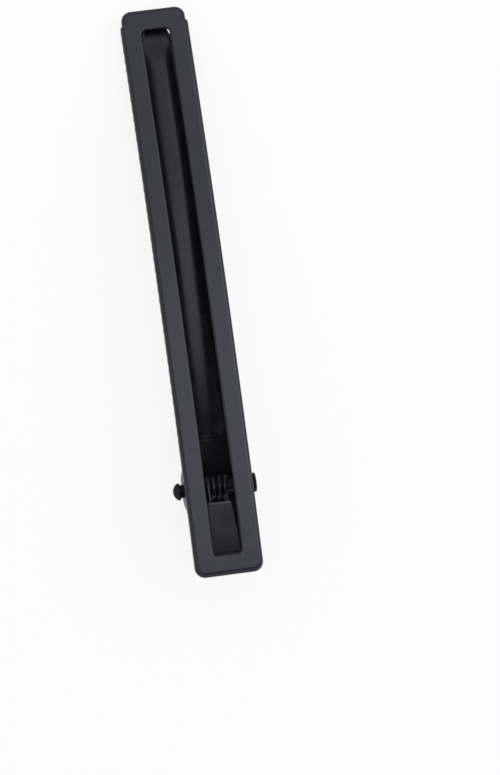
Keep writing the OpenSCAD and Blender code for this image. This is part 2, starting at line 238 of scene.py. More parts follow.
# %% Coated steel
def coated_steel(name, base, rubbed, roughness, peel=1.0, edge=0.35, ior=1.52):
    """Baked satin coat on pressed steel: near-black paint, orange peel, edges a little rubbed."""
    mat, t = new_material(name)
    place = add_node(t, "ShaderNodeTexCoord").outputs["Object"]
    cloud = add_node(t, "ShaderNodeTexNoise", inputs={
        "Vector": place, "Scale": CLOUDS, "Detail": 3.0, "Roughness": 0.6})
    grain = add_node(t, "ShaderNodeTexNoise", inputs={
        "Vector": place, "Scale": ORANGE_PEEL, "Detail": 2.0, "Roughness": 0.5})
    corner = add_node(t, "ShaderNodeNewGeometry").outputs["Pointiness"]
    edges = add_node(t, "ShaderNodeMapRange", inputs={
        "Value": corner, "From Min": 0.52, "From Max": 0.62, "To Min": 0.0, "To Max": edge})
    patches = add_node(t, "ShaderNodeMapRange", inputs={
        "Value": cloud, "From Min": 0.35, "From Max": 0.65, "To Min": 0.0, "To Max": 0.16})
    wear = add_node(t, "ShaderNodeMath", {"operation": "ADD"}, {0: edges, 1: patches})
    paint = add_node(t, "ShaderNodeMix", {"data_type": "RGBA"},
                     {0: wear, 6: hex_colour(base), 7: hex_colour(rubbed)}).outputs[2]
    sheen = add_node(t, "ShaderNodeMapRange", inputs={
        "Value": cloud, "From Min": 0.3, "From Max": 0.7,
        "To Min": roughness - 0.04, "To Max": roughness + 0.05})
    bump = add_node(t, "ShaderNodeBump", inputs={
        "Height": grain, "Strength": 0.07 * peel, "Distance": RELIEF})
    shader = add_node(t, "ShaderNodeBsdfPrincipled", inputs={
        "Base Color": paint, "Roughness": sheen, "Normal": bump, "Metallic": 0.0, "IOR": ior,
        "Specular Tint": hex_colour("#eaeaff")})
    add_node(t, "ShaderNodeOutputMaterial", inputs={"Surface": shader})
    return mat


# baked satin coat in gunmetal on cold-rolled steel; the arm's and the rivet's are duller
# the arm's dark base and low IOR are painted shade, for the shade that falls inside the frame
jaw_coat = coated_steel("satin_gunmetal_coat_on_steel", "#131318", "#26262c", 0.25)
arm_coat_painted_shade = coated_steel("duller_gunmetal_coat_on_arm", "#0d0d12", "#202026", 0.26, ior=1.43)
rivet_coat = coated_steel("gunmetal_coat_on_rivet", "#0c0c10", "#222227", 0.4,
                          peel=0.6, edge=0.4, ior=1.33)
print("coats:", jaw_coat.name, arm_coat_painted_shade.name, rivet_coat.name)

# %% [markdown]
# ## The spring's wire
# Springs like this one are wound from bare wire that was hardened in oil, which turns it dark. The
# drawing die leaves fine lines on it. So the wire is a real metal shader, with its gloss and
# bump broken up by those lines, and the temper colours drift a little over 2 mm.

# %% Spring wire
DRAWN_LINES = 2.6 * PER_MM             # nearly 0.4 mm apart
TEMPER_TINT = 0.5 * PER_MM             # patches of 2 mm


def spring_wire_steel(name, base, streak):
    """Oil-tempered spring wire: dark bare steel, broken up by the lines of the drawing die."""
    mat, t = new_material(name)
    place = add_node(t, "ShaderNodeTexCoord").outputs["Object"]
    lines = add_node(t, "ShaderNodeTexNoise", inputs={
        "Vector": place, "Scale": DRAWN_LINES, "Detail": 4.0, "Roughness": 0.7})
    tint = add_node(t, "ShaderNodeTexNoise", inputs={
        "Vector": place, "Scale": TEMPER_TINT, "Detail": 2.0})
    shade = add_node(t, "ShaderNodeMix", {"data_type": "RGBA"},
                     {0: tint, 6: hex_colour(base), 7: hex_colour(streak)}).outputs[2]
    gloss = add_node(t, "ShaderNodeMapRange", inputs={
        "Value": lines, "From Min": 0.3, "From Max": 0.7, "To Min": 0.3, "To Max": 0.46})
    bump = add_node(t, "ShaderNodeBump", inputs={
        "Height": lines, "Strength": 0.12, "Distance": RELIEF})
    shader = add_node(t, "ShaderNodeBsdfPrincipled", inputs={
        "Base Color": shade, "Roughness": gloss, "Normal": bump, "Metallic": 1.0})
    add_node(t, "ShaderNodeOutputMaterial", inputs={"Surface": shader})
    return mat


# bare wire, hardened in oil
wire_finish = spring_wire_steel("oil_tempered_spring_wire", "#2b2b32", "#3b3b43")
print("wire:", wire_finish.name)

# %% [markdown]
# ## Bending a flat blank along a path
# In the press shop each jaw starts as a flat blank, whose walls are folded up and whose length is
# then bowed. The lesson draws each blank with its walls already folded, and bows it. A blank is
# drawn straight, with x along it, y across it and z out of its outer face, and a node tree lays it
# along a path. The tree samples the path at the distance x, and moves the point out along the
# path's normal by z. Only the path differs between the frame and the arm. Every tree ends alike:
# instances are made real, because an export drops them, and the material is set.

# %% Starting and ending a node tree
def new_tree(name, *sizes):
    """A tree with a mesh in, a mesh out and named inputs: (name, socket type, default)."""
    tree = bpy.data.node_groups.new(name, "GeometryNodeTree")
    face = tree.interface
    face.new_socket("Geometry", in_out="INPUT", socket_type="NodeSocketGeometry")
    for label, kind, default in sizes:
        made = face.new_socket(label, in_out="INPUT", socket_type=kind)
        if default is not None:
            made.default_value = default
    face.new_socket("Geometry", in_out="OUTPUT", socket_type="NodeSocketGeometry")
    return tree, add_node(tree, "NodeGroupInput").outputs


def end_tree(tree, geometry, finish):
    """Ends a tree: instances made real, the material set and the result handed out."""
    real = add_node(tree, "GeometryNodeRealizeInstances", inputs={"Geometry": geometry})
    coat = add_node(tree, "GeometryNodeSetMaterial", inputs={"Geometry": real, "Material": finish})
    add_node(tree, "NodeGroupOutput", inputs={0: coat})
    print("tree:", tree.name, len(tree.nodes), "nodes")


# %% Node tree: lay a flat blank along a path
lay_tree, given = new_tree(
    "lay_blank_along_path",
    ("Path", "NodeSocketObject", None),
    ("Start", "NodeSocketFloat", 0.0),
    ("Finish", "NodeSocketMaterial", None),
)
here = add_node(lay_tree, "GeometryNodeInputPosition")
parts = add_node(lay_tree, "ShaderNodeSeparateXYZ", inputs={0: here}).outputs
path = add_node(lay_tree, "GeometryNodeObjectInfo", {"transform_space": "ORIGINAL"},
                {"Object": given["Path"]}).outputs["Geometry"]
run = add_node(lay_tree, "ShaderNodeMath", {"operation": "SUBTRACT"},
               {0: parts["X"], 1: given["Start"]})
sample = add_node(lay_tree, "GeometryNodeSampleCurve", {"mode": "LENGTH", "use_all_curves": True},
                  {"Curves": path, "Length": run}).outputs
normal = add_node(lay_tree, "ShaderNodeVectorMath", {"operation": "CROSS_PRODUCT"},
                  {0: sample["Tangent"], 1: (0, 1, 0)})
out = add_node(lay_tree, "ShaderNodeVectorMath", {"operation": "SCALE"},
               {0: normal, "Scale": parts["Z"]})
side = add_node(lay_tree, "ShaderNodeCombineXYZ", inputs={"Y": parts["Y"]})
spot = sample["Position"]
for offset in (out, side):
    spot = add_node(lay_tree, "ShaderNodeVectorMath", {"operation": "ADD"}, {0: spot, 1: offset})
laid = add_node(lay_tree, "GeometryNodeSetPosition",
                inputs={"Geometry": given["Geometry"], "Position": spot})
end_tree(lay_tree, laid, given["Finish"])

# %% [markdown]
# ## Cutting the teeth
# The two long walls end in forty small teeth each, which grip the hair. They repeat along the wall
# by one rule, so a node tree makes them: it pushes the wall's lower edge down by a triangle wave
# of the distance along the blank. An attribute named edge says how far each point follows: 1 on
# the edge itself, less above it and 0 on the plate. The points of the tooth are slightly blunt.
# The rule is a column of small sums, each with a name that a later one may use.

# %% Node tree: press the teeth into the walls
tooth_tree, given = new_tree(
    "press_teeth",
    ("Front", "NodeSocketFloat", 0.0),
    ("Back", "NodeSocketFloat", 0.0),
    ("Pitch", "NodeSocketFloat", 1.0),
    ("Height", "NodeSocketFloat", 1.0),
    ("Blunt", "NodeSocketFloat", 1.13),
    ("Finish", "NodeSocketMaterial", None),
)
here = add_node(tooth_tree, "GeometryNodeInputPosition")
x = add_node(tooth_tree, "ShaderNodeSeparateXYZ", inputs={0: here}).outputs["X"]
edge_share = add_node(tooth_tree, "GeometryNodeInputNamedAttribute", {"data_type": "FLOAT"},
                      {"Name": "edge"}).outputs["Attribute"]
sums = {}
for name, operation, first, second in (
        ("from_front", "SUBTRACT", given["Front"], x),
        ("pitches", "DIVIDE", "from_front", given["Pitch"]),
        ("half_pitches", "MULTIPLY", "pitches", 2.0),
        ("wave", "PINGPONG", "half_pitches", 1.0),
        ("taller", "MULTIPLY", "wave", given["Blunt"]),
        ("blunt_wave", "MINIMUM", "taller", 1.0),
        ("past_back", "GREATER_THAN", x, given["Back"]),
        ("before_front", "LESS_THAN", x, given["Front"]),
        ("toothed_stretch", "MULTIPLY", "past_back", "before_front"),
        ("teeth", "MULTIPLY", "blunt_wave", "toothed_stretch"),
        ("height_here", "MULTIPLY", edge_share, given["Height"]),
        ("reach", "MULTIPLY", "teeth", "height_here"),
        ("drop", "MULTIPLY", "reach", -1.0)):
    sums[name] = add_node(tooth_tree, "ShaderNodeMath", {"operation": operation}, {
        slot: sums[v] if isinstance(v, str) else v for slot, v in enumerate((first, second))})
offset = add_node(tooth_tree, "ShaderNodeCombineXYZ", inputs={"Z": sums["drop"]})
pressed = add_node(tooth_tree, "GeometryNodeSetPosition",
                   inputs={"Geometry": given["Geometry"], "Offset": offset})
end_tree(tooth_tree, pressed, given["Finish"])

# %% [markdown]
# ## Running a tree
# A tree works as a modifier, whose inputs are set by their identifiers, because a name may change.
# The result is then taken off as a plain mesh, so that nothing live is left on a piece. Each piece
# is checked in the same way: doubles merged, faces turned outwards, and its open edges counted.

# %% Objects for a tree, and its result
def mesh_object(name, points, faces, **attributes):
    """A mesh from points in mm, with float attributes on its points."""
    mesh = bpy.data.meshes.new(name)
    mesh.from_pydata([[c * MM for c in p] for p in points], [], faces)
    for key, values in attributes.items():
        mesh.attributes.new(key, "FLOAT", "POINT").data.foreach_set("value", values)
    return new_object(name, mesh)


def path_object(name, points):
    """A polyline in the row's frame for a tree to follow; it isn't part of the model."""
    curve = bpy.data.curves.new(name, "CURVE")
    curve.dimensions = "3D"
    line = curve.splines.new("POLY")
    line.points.add(len(points) - 1)
    for p, q in zip(line.points, points):
        p.co = (*q, 1)
    return new_object(name, curve)


def use_tree(obj, tree, **values):
    """Adds the tree as a modifier and sets its named inputs by their identifiers."""
    mod = obj.modifiers.new(tree.name, "NODES")
    mod.node_group = tree
    for item in tree.interface.items_tree:
        if item.item_type == "SOCKET" and item.in_out == "INPUT" and item.name in values:
            mod[item.identifier] = values[item.name]
    return obj


def settle(obj, name):
    """The evaluated object as a plain mesh in an object of its own; the maker's object goes."""
    dg = bpy.context.evaluated_depsgraph_get()
    mesh = bpy.data.meshes.new_from_object(obj.evaluated_get(dg), preserve_all_data_layers=True,
                                           depsgraph=dg)
    mesh.name = name
    done = new_object(name, mesh)
    bpy.data.objects.remove(obj)
    return done


# %% Checking and smoothing a mesh
MERGE = 0.001 * MM
CREASE = math.radians(40)              # sharper edges than this stay crisp


def outward(obj):
    """Merges doubles, turns every face outwards and prints what it found."""
    bm = bmesh.new()
    bm.from_mesh(obj.data)
    bmesh.ops.remove_doubles(bm, verts=bm.verts, dist=MERGE)
    bmesh.ops.recalc_face_normals(bm, faces=bm.faces)
    bm.to_mesh(obj.data)
    open_edges = sum(len(e.link_faces) != 2 for e in bm.edges)
    print(f"{obj.name}: {open_edges} open edges, {bm.calc_volume() / MM ** 3:.1f} mm3")
    bm.free()


def smooth(obj):
    """Smooth shading, with the sharp edges left crisp."""
    obj.data.shade_smooth()
    bm = bmesh.new()
    bm.from_mesh(obj.data)
    for e in bm.edges:
        e.smooth = len(e.link_faces) == 2 and e.calc_face_angle(0) < CREASE
    bm.to_mesh(obj.data)
    bm.free()
    print(f"{obj.name}: {len(obj.data.polygons)} faces, smoothed")


# %% [markdown]
# ## The frame's blank
# Seen flat, the frame is a ring of sheet round the window. Its outer rim is folded down to make
# the walls, and its inner rim, round the window, is rolled over slightly where the punch went in.
# So one cross-section of the sheet, from the wall's edge up over the fold and across to the window
# and back along the inside, is carried once round the ring. Each stop on the way is a rim point,
# the way that the rim faces there, and the point of the window's edge opposite.

# %% Spans, lofts and rounded corners
def span(first, last, steps):
    """Even steps from first to last, both included."""
    return [first + (last - first) * i / steps for i in range(steps + 1)]


def loft_faces(loops, around, closed):
    """Quads that join loops of points one after another, and the last to the first if closed."""
    return [(k * around + j, k * around + i, after * around + i, after * around + j)
            for k in range(loops if closed else loops - 1) for after in [(k + 1) % loops]
            for j in range(around) for i in [(j + 1) % around]]


def corner_stops(first, last, middle, depth):
    """A rounded corner: headings from first to last degrees about its middle."""
    turns = [(c, math.radians(c)) for c in span(first, last, 8)]
    return [[middle[0] + CORNER * math.cos(r), middle[1] + CORNER * math.sin(r), c, depth]
            for c, r in turns]


# %% Stops over the ear, in the flat
def ear_stops():
    """The round ear about the rivet: a fillet at each foot, straight flanks and the lobe."""
    stops = []
    for sign in (1, -1):
        foot_depth = WALL["plain"] if sign > 0 else WALL["thumb"]
        foot = on_bow(sign * EAR_FOOT, foot_depth)
        lean = math.atan2(foot[1], foot[0]) - sign * math.acos(LOBE / np.linalg.norm(foot))
        touch = LOBE * unit(lean)
        flank = [[sign * (EAR_FOOT + ahead), HALF, 90, foot_depth + deeper]
                 for ahead, deeper in ((0.8, 0), (0.25, 0.06), (0.02, 0.28))]
        for k in (0.25, 0.6, 1.0):
            p = foot + k * (touch - foot)
            flank.append([p[0], HALF, 90, on_bow(p[0], 0)[1] - p[1]])
        stops.append((flank, lean))
    turns = span(stops[0][1], stops[1][1] - 2 * math.pi, 28)[1:-1]
    lobe = [[LOBE * math.cos(t), HALF, 90, on_bow(LOBE * math.cos(t), 0)[1] - LOBE * math.sin(t)]
            for t in turns]
    return stops[0][0] + lobe + stops[1][0][::-1]


print("stops over the ear:", len(ear_stops()))

# %% Stops round the frame's rim, in the flat
TOOTH_FLAT = 0.12                      # half the blunt point of a tooth
SLIT = TIP - 2.9                       # the cap at the tip ends here, in a slit 0.35 mm wide


def rim_stops():
    """Half the ring, from the tip's middle to the thumb end's: [x, y, heading, wall depth]."""
    cap, slit, thumb, plain = (WALL[k] for k in ("cap", "slit", "thumb", "plain"))
    stops = [[TIP, y, 0.0, cap] for y in (0, 1.5, 3.0)]
    stops += corner_stops(0, 90, (TIP - CORNER, CAP_HALF - CORNER), cap)
    stops += [[SLIT - back, y, 90, depth] for back, y, depth in (
        (0, CAP_HALF, cap), (0.02, CAP_HALF + 0.02, slit), (0.33, HALF - 0.02, slit),
        (0.35, HALF, slit + 0.25), (1.0, HALF, WALL["tooth"]), (1.3, HALF, WALL["tooth"] - 0.3))]
    for i in range(TEETH):
        valley = TOOTH_FRONT - i * pitch
        stops += [[a, HALF, 90, WALL["valley"]] for a in (
            valley, valley - pitch / 2 + TOOTH_FLAT, valley - pitch / 2 - TOOTH_FLAT)]
    stops += [[TOOTH_BACK, HALF, 90, WALL["valley"]]]
    stops += [[a, HALF, 90, plain] for a in (TOOTH_BACK - 0.5, 8.2, 6.2)]
    stops += ear_stops()
    stops += [[a, HALF, 90, thumb] for a in (-6.5, -9, -12, -14)]
    stops += corner_stops(90, 180, (CORNER - THUMB, HALF - CORNER), thumb)
    return stops + [[-THUMB, y, 180, thumb] for y in (3.2, 1.6, 0)]


rim = rim_stops()
print("stops on half the rim:", len(rim))

# %% The window's edge opposite each stop
# towards the tip, 1, and towards the thumb, -1: the window's end and its corner radius, and then
# the station where each end's corner meets the straight side
WINDOW_END = {1: (WINDOW_FRONT, 0.9), -1: (WINDOW_BACK, 0.6)}
window_side = {end: edge - end * r for end, (edge, r) in WINDOW_END.items()}


def window_stop(share, end):
    """[x, y, heading] on the window's edge, by the share of the way from side to end's middle."""
    edge, r = WINDOW_END[end]
    middle = (window_side[end], WINDOW_HALF - r)
    arc = r * math.pi / 2
    way = share * (arc + middle[1])
    if way <= arc:
        c = math.pi / 2 - way / r
        return [middle[0] + end * r * math.cos(c), middle[1] + r * math.sin(c),
                math.degrees(c) if end > 0 else 180 - math.degrees(c)]
    return [edge, middle[1] - (way - arc), 0 if end > 0 else 180]


def paired_stops():
    """Every stop with its window point, by the share of the way to the end's middle."""
    paired = []
    for end, limit in window_side.items():
        group = [r for r in rim if end * (r[0] - limit) > 0]
        order = group if end < 0 else group[::-1]
        ways, last = [], [limit, HALF]
        for r in order:
            ways.append((ways[-1] if ways else 0) + math.hypot(r[0] - last[0], r[1] - last[1]))
            last = r
        found = [(r, window_stop(w / ways[-1], end)) for r, w in zip(order, ways)]
        paired.append(found if end < 0 else found[::-1])
    side = [(r, [r[0], WINDOW_HALF, 90]) for r in rim
            if window_side[-1] <= r[0] <= window_side[1]]
    return paired[0] + side + paired[1]


half_ring = paired_stops()
print("paired with the window:", len(half_ring))

# %% [markdown]
# ## The sheet's cross-section
# Sheared steel never has a knife edge. So the section rounds the wall's lower edge, rolls the
# window's edge over on the outside, where the punch went in, and leaves it nearly square inside.
# The same count of points at every stop lets plain quads join one stop to the next.

# %% Section at one stop
EDGE_SOFT, ROLL, BURR = 0.07, 0.45, 0.05    # wall's edge; window's edge, outside and inside
ROUNDING = 0.3                              # its middle is set in by this share of the radius
LAP = 0.1                                   # points this near a fold keep the flat face flat


def frame_section(stop, window, side):
    """One closed loop of points round the sheet, and each point's share of the teeth."""
    x, y, heading, wall = stop
    n, m = unit(math.radians(heading)), unit(math.radians(window[2]))
    rim_at, win_at = np.array([x, y]), np.array(window[:2])
    loop, share = [], []

    def put(plan, depth, edge=0.0):
        """Adds a point by its place in the flat and its depth."""
        loop.append((plan[0], side * plan[1], -depth))
        share.append(edge)

    def from_rim(skin, depth, edge=0.0):
        """Adds a point of the wall or its fold, by how far it is inside the rim."""
        put(rim_at - n * skin, depth, edge)

    mid = FOLD + (wall - FOLD) * 0.5
    rounded = ROUNDING * EDGE_SOFT
    from_rim(0, wall - EDGE_SOFT, 1)
    from_rim(0, mid, 0.5)
    folds = [math.radians(c) for c in span(0, 90, 6)]
    for c in folds:
        from_rim(FOLD - FOLD * math.cos(c), FOLD - FOLD * math.sin(c))
    flat_from, flat_to = rim_at - n * FOLD, win_at + m * ROLL
    lap = LAP / np.linalg.norm(flat_to - flat_from)
    across = (lap, 0.35, 0.75, 1 - lap)
    for k in across:
        put(flat_from + (flat_to - flat_from) * k, 0)
    for c in [math.radians(v) for v in span(0, 90, 4)]:
        put(win_at + m * (ROLL - ROLL * math.sin(c)), ROLL - ROLL * math.cos(c))
    put(win_at, SHEET - BURR)
    put(win_at + m * BURR, SHEET)
    for k in across[::-1]:
        put(flat_from + (flat_to - flat_from) * k, SHEET)
    for c in folds[::-1]:
        from_rim(FOLD - (FOLD - SHEET) * math.cos(c), FOLD - (FOLD - SHEET) * math.sin(c))
    from_rim(SHEET, mid, 0.5)
    for skin, lift in ((SHEET, EDGE_SOFT), (SHEET - rounded, rounded), (SHEET - EDGE_SOFT, 0),
                       (EDGE_SOFT, 0), (rounded, rounded)):
        from_rim(skin, wall - lift, 1)
    return loop, share


print("points in a section:", len(frame_section(*half_ring[0], 1)[0]))

# %% Sections round the ring
ring = [(r, w, 1) for r, w in half_ring] + [(r, w, -1) for r, w in half_ring[-2:0:-1]]
frame_points, frame_edge = [], []
for stop, window, side in ring:
    loop, share = frame_section(stop, window, side)
    frame_points += loop
    frame_edge += share
frame_faces = loft_faces(len(ring), len(loop), closed=True)
print("frame blank:", len(ring), "stops of", len(loop), "points,", len(frame_faces), "faces")

# %% [markdown]
# ## The tongue
# The thumb end of the window isn't cut away. The punch leaves a tongue there, pushes it down below
# the plate at its root and lets it run back to the rivet, rising a little. One leg of the spring
# bears on its underside. One side of it draws in towards the free end. It is lofted from one
# rounded rectangle, as a short strip of the same sheet, and a Boolean joins it to the frame.

# %% Tongue strip, in the flat
TONGUE_HALF, TONGUE_DROP, TONGUE_RISE, TONGUE_RELIEF = 2.65, 1.5, 1.0, 0.7
TONGUE_STEP, TONGUE_RUN = 0.7, 9.5     # the root steps down over one, and rises over the other
TONGUE_SOFT = 0.06                     # rounding of its edges


def tongue_face(x):
    """Depth of the tongue's upper face at station x."""
    return TONGUE_DROP - TONGUE_RISE * (x - WINDOW_BACK - TONGUE_STEP) / TONGUE_RUN


def tongue_strip():
    """Closed loft of rounded rectangles, one to each [x, depth of the upper face, half width]."""
    root, w, b = WINDOW_BACK, TONGUE_HALF, TONGUE_SOFT
    stops = [(root + v, d, w) for v, d in (
        (-0.5, 0.05), (-0.25, 0.1), (-0.02, 0.2), (0.1, 0.4), (0.46, 1.35))]
    stops += [(root + v, tongue_face(root + v) - 0.01, w) for v in (
        0.54, 0.9, 2.0, 3.0, 3.3, 3.7, 5, 6.5, 8, 9.2, 10.1)]
    stops += [(root + v, tongue_face(root + v) + sunk, w - less) for v, sunk, less in (
        (10.38, -0.01, 0.05), (10.45, 0.03, 0.2))]
    points = []
    for x, hi, w in stops:
        right = w - TONGUE_RELIEF * min(1.0, max(0.0, (x - root - 3.3) / 6.9))
        lo = hi + SHEET - (b if x > root + 10.4 else 0.0)
        section = [(-right, hi + b), (-right + b, hi), (0, hi), (w - b, hi), (w, hi + b),
                   (w, lo - b), (w - b, lo), (0, lo), (-right + b, lo), (-right, lo - b)]
        points += [(x, y, -z) for y, z in section]
    n, last = len(section), len(points) - len(section)
    ends = [tuple(range(n - 1, -1, -1)), tuple(range(last, last + n))]
    return points, loft_faces(len(stops), n, closed=False) + ends


tongue_points, tongue_faces = tongue_strip()
print("tongue strip:", len(tongue_points), "points,", len(tongue_faces), "faces")

# %% [markdown]
# ## From blank to frame
# The teeth are pressed while the blank is flat, and then the blank is laid along the bow, in the
# same order as in the press shop. The bow is a fine polyline, so that the curve shows no corners.
# The holes for the rivet are drilled last, with a Boolean on the flat ears.

# %% Joining and drilling
FRAME_HOLE, ARM_HOLE = 1.33, 1.36      # radii; the arm turns freely on the rivet


def boolean(obj, tool, operation):
    """Joins or cuts with another mesh, which goes."""
    cut = obj.modifiers.new(operation.lower(), "BOOLEAN")
    cut.operation, cut.object, cut.solver = operation, tool, "EXACT"
    name = obj.name
    obj.name = name + "_before"
    done = settle(obj, name)
    bpy.data.objects.remove(tool)
    return done


def object_from(bm, name):
    """The object of a finished bmesh."""
    mesh = bpy.data.meshes.new(name)
    bm.to_mesh(mesh)
    bm.free()
    return new_object(name, mesh)


def drill(obj, radius, half_length):
    """Bores the hole for the rivet through both ears."""
    bm = bmesh.new()
    turn = Matrix.Translation(pivot) @ Matrix.Rotation(math.pi / 2, 4, "X")
    bmesh.ops.create_cone(bm, cap_ends=True, segments=48, radius1=radius * MM,
                          radius2=radius * MM, depth=2 * half_length * MM, matrix=turn)
    return boolean(obj, object_from(bm, "drill"), "DIFFERENCE")


# %% Frame
PATH_STEP, PATH_SPARE = 0.25, 1.0      # the paths run on a little past the ends of the jaws
path_start = -THUMB - PATH_SPARE
stations = np.arange(path_start, TIP + PATH_SPARE + PATH_STEP / 2, PATH_STEP)
frame_path = path_object("bow_of_the_frame", [in_the_middle(on_bow(a, 0)) for a in stations])


def lay_on_bow(blank, name):
    """Lays a blank along the frame's bow and checks it."""
    use_tree(blank, lay_tree, Path=frame_path, Start=path_start * MM, Finish=jaw_coat)
    laid = settle(blank, name)
    outward(laid)
    return laid


blank = mesh_object("frame_blank", frame_points, frame_faces, edge=frame_edge)
use_tree(blank, tooth_tree, Front=TOOTH_FRONT * MM, Back=TOOTH_BACK * MM, Pitch=pitch * MM,
         Height=(WALL["tooth"] - WALL["valley"]) * MM, Finish=jaw_coat)
toothed = lay_on_bow(blank, "toothed_frame_steel")
tongue = lay_on_bow(mesh_object("tongue_blank", tongue_points, tongue_faces), "tongue")
toothed = drill(boolean(toothed, tongue, "UNION"), FRAME_HOLE, HALF + 1)
outward(toothed)
smooth(toothed)

# %% [markdown]
# ## The arm's blank
# The arm is a shallow channel too, but its sides aren't parallel: it swells from a round nose to
# the shoulder, where it steps out to the full width of the ears and the thumb plate. A
# round-bottomed groove is pressed along its outer face for stiffness and ends like a spoon before
# the thumb plate.

# %% Plan of the arm
shoulder_front, shoulder_back = run_at(15.2), run_at(9.4)
NOSE_BLEND = 0.3                       # how softly the flare of the nose meets the long taper
groove_front, groove_back, SPOON = 5.0, run_at(9.0), 3.4
GROOVE = 0.64                          # depth of the groove near the nose


def ease(t):
    """A soft step from 0 to 1."""
    t = min(1.0, max(0.0, t))
    return t * t * (3 - 2 * t)


def shoulder(s):
    """How far the arm has stepped out to its full width at run s, from 0 to 1."""
    return ease((s - shoulder_front) / (shoulder_back - shoulder_front))


def half_width(s):
    """Half width of the arm at run s, behind the round of the nose."""
    taper = NECK + (SHOULDER - NECK) * s / shoulder_front
    flank = NOSE_R * math.cos(FLARE) + (s - NOSE_R * (1 - math.sin(FLARE))) * math.tan(FLARE)
    soft = (taper + flank - math.sqrt((flank - taper) ** 2 + NOSE_BLEND ** 2)) / 2
    return soft + (ARM_HALF - taper) * shoulder(s)


def groove(s, w):
    """Depth of the pressed groove at run s and distance w from the middle."""
    if s > groove_back:
        return 0.0
    back = max(0.0, (s - groove_back + SPOON) / SPOON)
    half = (min(half_width(s), SHOULDER + 0.3) - GRIP_FOLD) * math.sqrt(max(1e-4, 1 - back * back))
    # it gets shallower from run 45, starts over 5 mm and runs out over 2
    shallower = 1 - 0.3 * ease((s - 45) / 20)
    depth = GROOVE * shallower * ease((s - groove_front + 1) / 5) * ease((groove_back - s) / 2)
    return depth * math.cos(math.pi / 2 * min(1.0, abs(w) / half)) ** 1.6


print("arm: half width %.2f mm at run 50, groove %.2f mm" % (half_width(50), groove(50, 0)))

# %% [markdown]
# ## The arm's walls and ears
# The walls are low along the grip, and step up at the shoulder. Beside the rivet they rise into
# the ears, which have a leading edge at 45 degrees and a round lobe. The rim is a row of stops
# again. They stand closer together where the wall changes, so that the outline of the ear is round.

# %% Top of the wall at a stop
WALL_STEP = run_at(11.6)               # the low wall steps up here
STEP_FRONT, STEP_BACK = run_at(12.0), run_at(11.3)
ear_lead, ear_trail = run_at(4.6, THUMB_WALL), run_at(-2.95, THUMB_WALL)


def flat_of(x, z):
    """A point of the side view near the thumb plate as (run, height) of the blank."""
    q = np.array([x, z]) - bend_start
    return jaw_run + bend_run - q @ along, -(q @ down)


def ear_outline(share):
    """Side view: up the ear's 45 degree leading edge, over its lobe and down to the rear foot."""
    foot, rear = arm_at(ear_lead, THUMB_WALL), arm_at(ear_trail, THUMB_WALL)
    corner = np.array([EAR, foot[1] + foot[0] - EAR])
    lead = (foot[0] - EAR) / (foot[0] - rear[0])
    if share <= lead:
        return foot + (corner - foot) * share / lead
    drop, lobe = -corner[1], EAR * math.pi
    way = (share - lead) / (1 - lead) * (drop + lobe - rear[1])
    if way <= drop:
        return corner + np.array([0, way])
    if way <= drop + lobe:
        t = (way - drop) / EAR
        return EAR * unit(t)
    return np.array([-EAR, max(rear[1], drop + lobe - way)])


def wall_top(s, heading, fold):
    """Base and top of the wall at a stop, as (run, height) pairs."""
    if ear_lead <= s <= ear_trail:
        top = flat_of(*ear_outline((s - ear_lead) / (ear_trail - ear_lead)))
        return (s, THUMB_WALL), (top[0], max(top[1], THUMB_WALL + 0.15))
    lip = CLOSED - 0.1                 # the nose nearly touches the frame when shut
    if s < WALL_STEP:
        top = lip - (lip - GRIP_WALL) * ease((s - 2.1) / 0.5)
    else:
        top = GRIP_WALL + (THUMB_WALL - GRIP_WALL) * ease((s - WALL_STEP) / 0.8)
    if s >= arm_run - 0.01 or heading > 90:
        top = max(top, THUMB_WALL + 0.08)
    return (s, fold + 0.3 * (top - fold)), (s, top)


print("ears: from run %.1f to %.1f mm" % (ear_lead, ear_trail))


# %% Rim of the arm
def arm_stops():
    """[run, half width, heading, fold radius, base (run, height), top (run, height)], one side."""
    stops = []
    for c in [8, 18, 28, 38, 48, 58, 90 - math.degrees(FLARE)]:
        r = math.radians(c)
        stops.append([NOSE_R * (1 - math.cos(r)), NOSE_R * math.sin(r), c, GRIP_FOLD])
    runs = [1.5, 2.0, 2.3, 2.6, 3.2, 4.0, 4.8, 5.8, 7.0, 8.5] + span(10.5, shoulder_front - 2, 30)
    runs += span(shoulder_front - 1, STEP_FRONT, 6)
    runs += [WALL_STEP, STEP_BACK, run_at(11.0), run_at(10.8)]
    runs += span(run_at(10.4), shoulder_back + 0.6, 4)
    for s in runs:
        slope = (half_width(s + 0.05) - half_width(s - 0.05)) / 0.1
        stops.append([s, half_width(s), 90 - math.degrees(math.atan(slope)),
                      GRIP_FOLD + (THUMB_FOLD - GRIP_FOLD) * shoulder(s)])
    past_shoulder = [run_at(x) for x in (7.4, 6.0)] + span(run_at(4.7), run_at(-3.1), 52)
    past_shoulder += [run_at(-5), run_at(-8), arm_run - ARM_CORNER - 1.5]
    stops += [[s, ARM_HALF, 90, THUMB_FOLD] for s in past_shoulder]
    for c in span(90, 180, 8):
        r = math.radians(c)
        stops.append([arm_run - ARM_CORNER - ARM_CORNER * math.cos(r),
                      ARM_HALF - ARM_CORNER + ARM_CORNER * math.sin(r), c,
                      THUMB_FOLD + (END_FOLD - THUMB_FOLD) * min(1.0, (c - 90) / 45)])
    return [s + list(wall_top(s[0], s[2], s[3])) for s in stops]


arm_rim = arm_stops()
print("arm rim:", len(arm_rim), "stops")

# %% [markdown]
# ## Skins of the arm
# Rows of points are laid across the blank, one for each stop along its rim, first for the outer
# skin and then for the inner one. The inner row follows the same fold with a smaller radius, which
# keeps the sheet at one thickness. The rounded edge of the sheet joins the two skins.

# %% Rows across the arm
FLOOR_STEPS, FOLD_STEPS, EDGE_STEPS = 12, 6, 3
ARM_EDGE = 0.28                        # rounding of the wall's top edge


